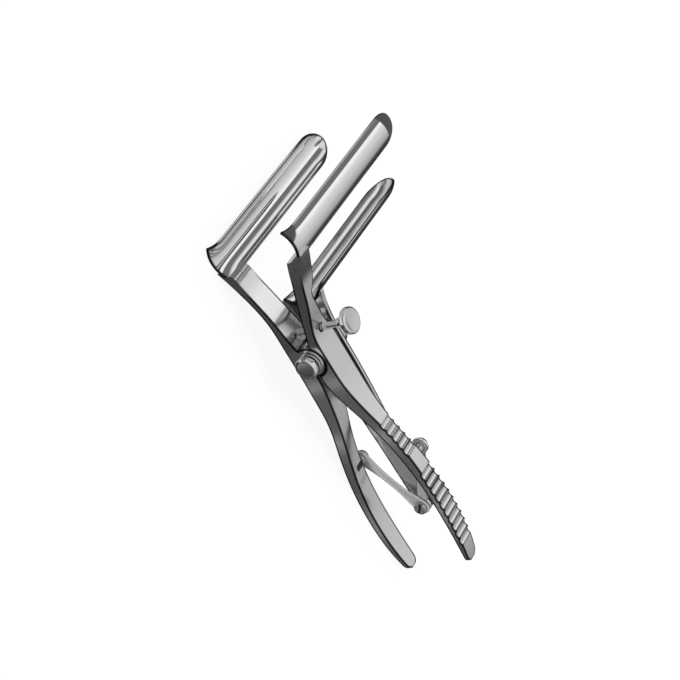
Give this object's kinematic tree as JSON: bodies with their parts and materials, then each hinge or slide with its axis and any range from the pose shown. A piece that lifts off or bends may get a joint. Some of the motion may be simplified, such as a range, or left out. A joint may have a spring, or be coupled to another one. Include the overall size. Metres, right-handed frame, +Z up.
{
  "type": "three-blade anal speculum",
  "caption": "Surgical speculum of polished steel: squeezing the ridged grips spreads half-round blades, a toggle linkage draws the third blade back and a thumb screw holds the opening.",
  "frame": {"origin": "centre of the resting part's bounding box, on the table it lies on", "axes": "+X from the blades to the grips, +Y along the pivot axis towards the blade tips, +Z up from the left lever to the right lever"},
  "size_m": [0.1826, 0.1168, 0.05],
  "materials": {
    "lever_steel": "polished",
    "blade_steel": "polished",
    "screw_steel": "polished",
    "knob_steel": "polished"
  },
  "bodies": {
    "left": {"left_lever": "lever_steel", "left_blade": "blade_steel", "left_link_screw": "screw_steel", "left_link_spacer": "screw_steel"},
    "right": {"right_lever": "lever_steel", "right_blade": "blade_steel", "right_link_screw": "screw_steel", "right_link_spacer": "screw_steel", "pivot_spacer": "screw_steel"},
    "pivot": {"pivot_screw": "screw_steel", "pivot_knob": "knob_steel", "pivot_nut": "knob_steel"},
    "toggle_left": {"left_link": "lever_steel"},
    "third": {"third_lever": "lever_steel", "third_blade": "blade_steel", "centre_screw": "screw_steel", "centre_nut": "screw_steel"},
    "toggle_right": {"right_link": "lever_steel"},
    "spreader": {"spread_rod": "screw_steel", "spread_collar": "knob_steel"},
    "spreader_knob": {"spread_knob": "knob_steel"}
  },
  "joints": [
    {"name": "lever_hinge", "type": "hinge", "parent": "left", "child": "right", "pos_m": [-0.02826, -0.04588, 0.02305], "axis": [0, -1, 0], "range_deg": [-3, 20]},
    {"name": "pivot_spin", "type": "hinge", "parent": "left", "child": "pivot", "pos_m": [-0.02826, -0.04588, 0.02305], "axis": [0, 1, 0], "continuous": true},
    {"name": "left_link_hinge", "type": "hinge", "parent": "left", "child": "toggle_left", "pos_m": [0.03264, -0.03863, 0.00559], "axis": [0, -1, 0], "range_deg": [-6, 32]},
    {"name": "third_hinge", "type": "hinge", "parent": "toggle_left", "child": "third", "pos_m": [0.06422, -0.03863, 0.02084], "axis": [0, -1, 0], "range_deg": [-22, 4]},
    {"name": "right_link_hinge", "type": "hinge", "parent": "right", "child": "toggle_right", "pos_m": [0.03341, -0.03703, 0.03758], "axis": [0, -1, 0], "range_deg": [-32, 6]},
    {"name": "spread_slide", "type": "slide", "parent": "right", "child": "spreader", "axis": [0.0239, 0, 0.9997], "range_m": [-0.0009, 0.0055]},
    {"name": "knob_spin", "type": "hinge", "parent": "spreader", "child": "spreader_knob", "pos_m": [-0.03986, -0.04588, 0.04834], "axis": [0.0239, 0, 0.9997], "continuous": true}
  ],
  "couplings": [
    {"joint": "left_link_hinge", "follows": "lever_hinge", "ratio": 1.56},
    {"joint": "third_hinge", "follows": "lever_hinge", "ratio": -1.06},
    {"joint": "right_link_hinge", "follows": "lever_hinge", "ratio": -1.56},
    {"joint": "spread_slide", "follows": "lever_hinge", "m_per_rad": 0.0148}
  ]
}
